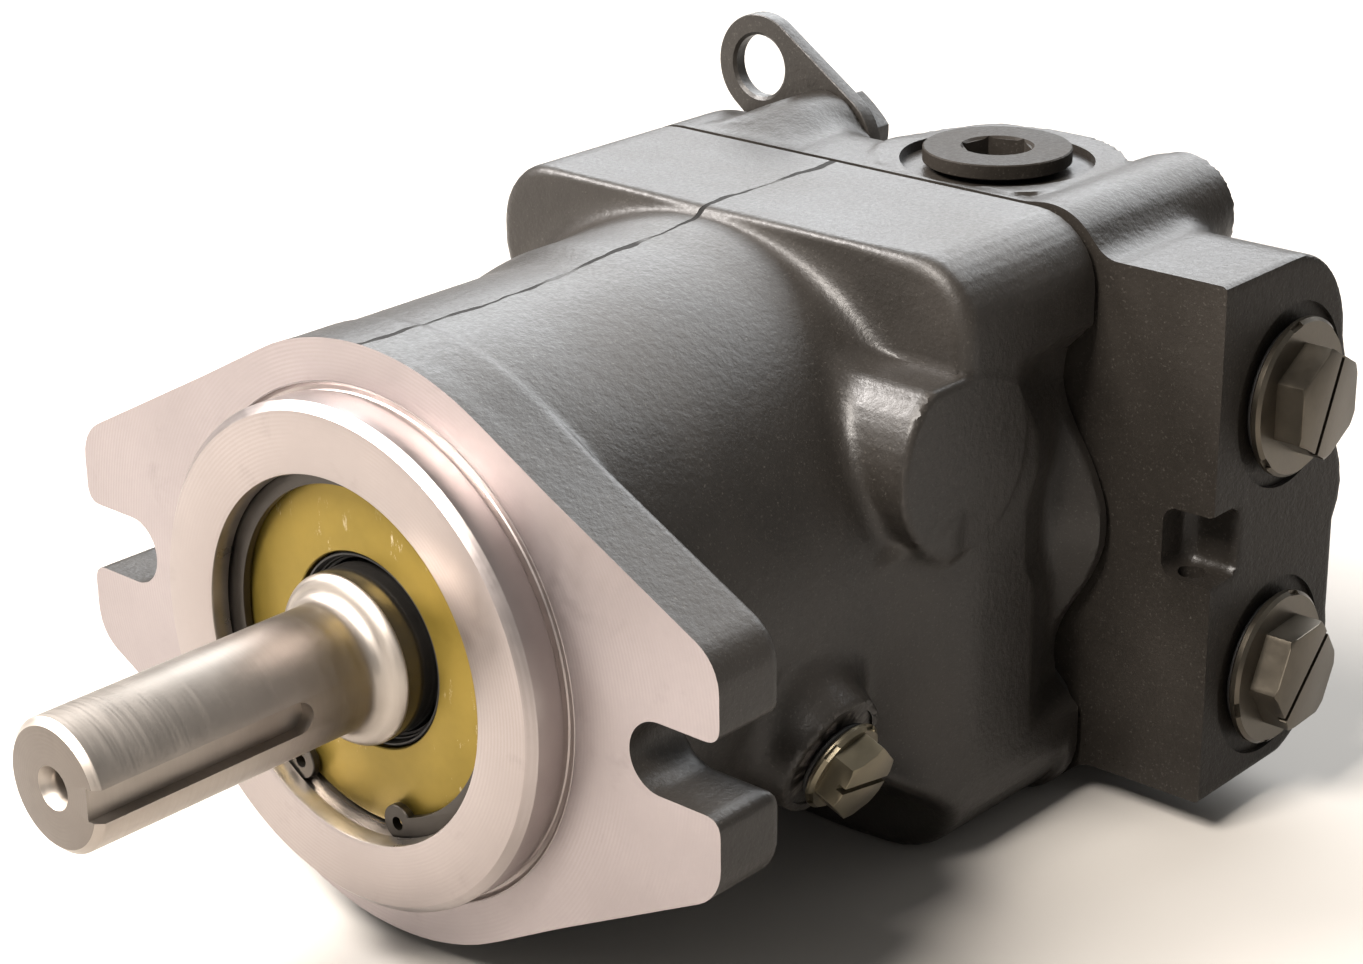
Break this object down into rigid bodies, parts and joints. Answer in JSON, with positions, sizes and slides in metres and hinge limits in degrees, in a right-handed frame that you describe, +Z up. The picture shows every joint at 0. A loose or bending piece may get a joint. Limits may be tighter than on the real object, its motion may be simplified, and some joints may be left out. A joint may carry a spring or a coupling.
{
  "type": "hydraulic motor",
  "caption": "Axial-piston hydraulic motor with an eared pilot flange and open bolt slots, keyed straight shaft, plugged side ports, case-drain plug and a lifting eye.",
  "frame": {"origin": "on the shaft axis, in the plane of the flange's mounting face", "axes": "+Z up; -Y along the shaft, out of the flange; +Y towards the end cap; the ports and the drain open to +X, the viewer's right when facing the shaft"},
  "size_m": [0.2407, 0.3305, 0.186],
  "materials": {
    "housing_paint": "satin charcoal paint on cast iron, bare where machined",
    "cap_paint": "satin charcoal paint on cast iron",
    "gasket": "dark sealing sheet",
    "screw_steel": "black-oxide screws, painted over",
    "zinc_plate": "yellow zinc plate",
    "rubber": "matte",
    "ring_steel": "phosphated spring steel",
    "drain_plug_plastic": "satin black",
    "port_plug_plastic": "satin black",
    "top_plug_steel": "satin charcoal paint",
    "eye_steel": "satin charcoal paint",
    "eye_bolt_steel": "satin charcoal paint",
    "shaft_steel": "ground",
    "bearing_steel": "polished bearing steel",
    "ground_steel": "ground",
    "spring_steel": "oil-hardened",
    "bronze": "lapped bronze",
    "piston_steel": "ground and polished",
    "slipper_bronze": "lapped bronze"
  },
  "bodies": {
    "base": {"housing": "housing_paint", "end_cap": "cap_paint", "end_cap_gasket": "gasket", "end_cap_bolt_1": "screw_steel", "end_cap_bolt_2": "screw_steel", "end_cap_bolt_3": "screw_steel", "end_cap_bolt_4": "screw_steel", "seal_carrier": "zinc_plate", "seal_carrier_o_ring": "rubber", "shaft_seal": "rubber", "retaining_ring": "ring_steel", "drain_plug": "drain_plug_plastic", "drain_plug_o_ring": "rubber", "port_plug_a": "port_plug_plastic", "port_plug_a_o_ring": "rubber", "port_plug_b": "port_plug_plastic", "port_plug_b_o_ring": "rubber", "top_plug": "top_plug_steel", "top_plug_o_ring": "rubber", "lifting_eye": "eye_steel", "lifting_eye_bolt": "eye_bolt_steel", "front_bearing_cup": "bearing_steel", "rear_bearing_cup": "bearing_steel", "swash_plate": "ground_steel", "valve_plate": "bronze"},
    "rotor": {"shaft": "shaft_steel", "front_bearing_cone": "bearing_steel", "rear_bearing_cone": "bearing_steel", "retainer_plate": "ground_steel", "ball_guide": "ground_steel", "cylinder_block": "ground_steel", "block_spring": "spring_steel", "spring_washer_front": "ground_steel", "spring_washer_rear": "ground_steel", "piston_1": "piston_steel", "piston_2": "piston_steel", "piston_3": "piston_steel", "piston_4": "piston_steel", "piston_5": "piston_steel", "piston_6": "piston_steel", "piston_7": "piston_steel", "piston_8": "piston_steel", "piston_9": "piston_steel", "slipper_1": "slipper_bronze", "slipper_2": "slipper_bronze", "slipper_3": "slipper_bronze", "slipper_4": "slipper_bronze", "slipper_5": "slipper_bronze", "slipper_6": "slipper_bronze", "slipper_7": "slipper_bronze", "slipper_8": "slipper_bronze", "slipper_9": "slipper_bronze"},
    "front_cage": {"front_bearing_rollers": "bearing_steel"},
    "rear_cage": {"rear_bearing_rollers": "bearing_steel"}
  },
  "joints": [
    {"name": "shaft_spin", "type": "hinge", "parent": "base", "child": "rotor", "pos_m": [0, 0, 0], "axis": [0, 1, 0], "continuous": true},
    {"name": "front_cage_spin", "type": "hinge", "parent": "base", "child": "front_cage", "pos_m": [0, 0.021, 0], "axis": [0, 1, 0], "continuous": true},
    {"name": "rear_cage_spin", "type": "hinge", "parent": "base", "child": "rear_cage", "pos_m": [0, 0.182, 0], "axis": [0, 1, 0], "continuous": true}
  ],
  "couplings": [
    {"joint": "front_cage_spin", "follows": "shaft_spin", "ratio": 0.448},
    {"joint": "rear_cage_spin", "follows": "shaft_spin", "ratio": 0.436}
  ]
}
